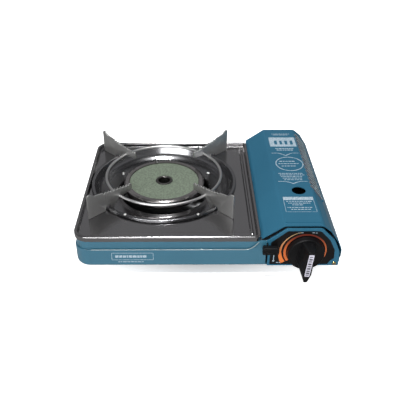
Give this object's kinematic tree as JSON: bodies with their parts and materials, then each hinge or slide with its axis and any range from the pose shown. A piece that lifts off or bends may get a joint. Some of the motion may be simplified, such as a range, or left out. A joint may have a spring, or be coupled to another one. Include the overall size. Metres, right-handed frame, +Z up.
{
  "type": "portable gas camping stove",
  "caption": "Flat table-top camping stove: ceramic gas burner in a drip well, lift-off pan support, hinged cartridge lid, ignition knob and cartridge lock lever.",
  "frame": {"origin": "middle of the footprint at the height the feet stand on", "axes": "+Z up, +X along the long side towards the cartridge bay, -Y towards the control knob at the front"},
  "size_m": [0.3495, 0.3049, 0.0885],
  "materials": {
    "blue_paint": "gloss enamel",
    "stainless": "fine brushed",
    "polished_steel": "polished",
    "satin_steel": "satin",
    "zinc_steel": "zinc plated",
    "ceramic": "porous matt",
    "white_ceramic": "glazed",
    "black_plastic": "satin black",
    "label_silver": "printed foil",
    "black_rubber": "matt",
    "brass": "plain",
    "aluminium": "cast",
    "lead_cover": "silicone"
  },
  "bodies": {
    "stove": {"casing": "blue_paint", "foot_front_left": "black_rubber", "foot_front_right": "black_rubber", "foot_back_left": "black_rubber", "foot_back_right": "black_rubber", "foot_screws": "zinc_steel", "divider": "zinc_steel", "top_plate": "stainless", "burner_well": "polished_steel", "burner_cup": "polished_steel", "ceramic_plate": "ceramic", "centre_eyelet": "polished_steel", "ceramic_seat": "zinc_steel", "burner_strap": "zinc_steel", "mixing_tube": "zinc_steel", "well_screws": "polished_steel", "well_rivets": "polished_steel", "bay_bulkhead": "zinc_steel", "panel_frame": "blue_paint", "dial_inlay": "black_plastic", "panel_screw": "brass", "governor_body": "aluminium", "governor_cap": "aluminium", "governor_bracket": "zinc_steel", "gas_jet": "brass", "collar_plate": "zinc_steel", "igniter": "black_plastic", "ignition_lead": "lead_cover", "electrode_insulator": "white_ceramic", "electrode_wire": "zinc_steel", "heat_plate": "aluminium", "hinge_leaves": "zinc_steel", "hinge_pins": "zinc_steel", "lever_bracket": "zinc_steel"},
    "pan_support": {"pan_arm_front_left": "satin_steel", "pan_arm_front_right": "satin_steel", "pan_arm_back_right": "satin_steel", "pan_arm_back_left": "satin_steel", "support_ring": "polished_steel"},
    "bay_lid": {"lid": "blue_paint", "lid_hinge_leaves": "zinc_steel"},
    "control_knob": {"knob": "black_plastic", "knob_label": "label_silver", "spindle": "zinc_steel"},
    "lock_lever": {"lever_arm": "zinc_steel", "lever_tab": "black_plastic", "lever_pin": "zinc_steel"},
    "pusher": {"lever_link": "zinc_steel", "cartridge_pusher": "zinc_steel"}
  },
  "joints": [
    {"name": "lid_hinge", "type": "hinge", "parent": "stove", "child": "bay_lid", "pos_m": [0.1725, 0.015, 0.024], "axis": [0, 1, 0], "range_deg": [0, 95]},
    {"name": "knob_turn", "type": "hinge", "parent": "stove", "child": "control_knob", "pos_m": [0.126, -0.13, 0.0345], "axis": [0, -1, 0], "range_deg": [0, 130]},
    {"name": "lever_turn", "type": "hinge", "parent": "stove", "child": "lock_lever", "pos_m": [0.076, -0.092, 0.024], "axis": [1, 0, 0], "range_deg": [0, 30]},
    {"name": "pusher_slide", "type": "slide", "parent": "stove", "child": "pusher", "axis": [0, -1, 0], "range_m": [0, 0.008]},
    {"name": "support_lift", "type": "slide", "parent": "stove", "child": "pan_support", "axis": [0, 0, 1], "range_m": [0, 0.06]}
  ],
  "couplings": [
    {"joint": "pusher_slide", "follows": "lever_turn", "m_per_rad": 0.015277}
  ]
}
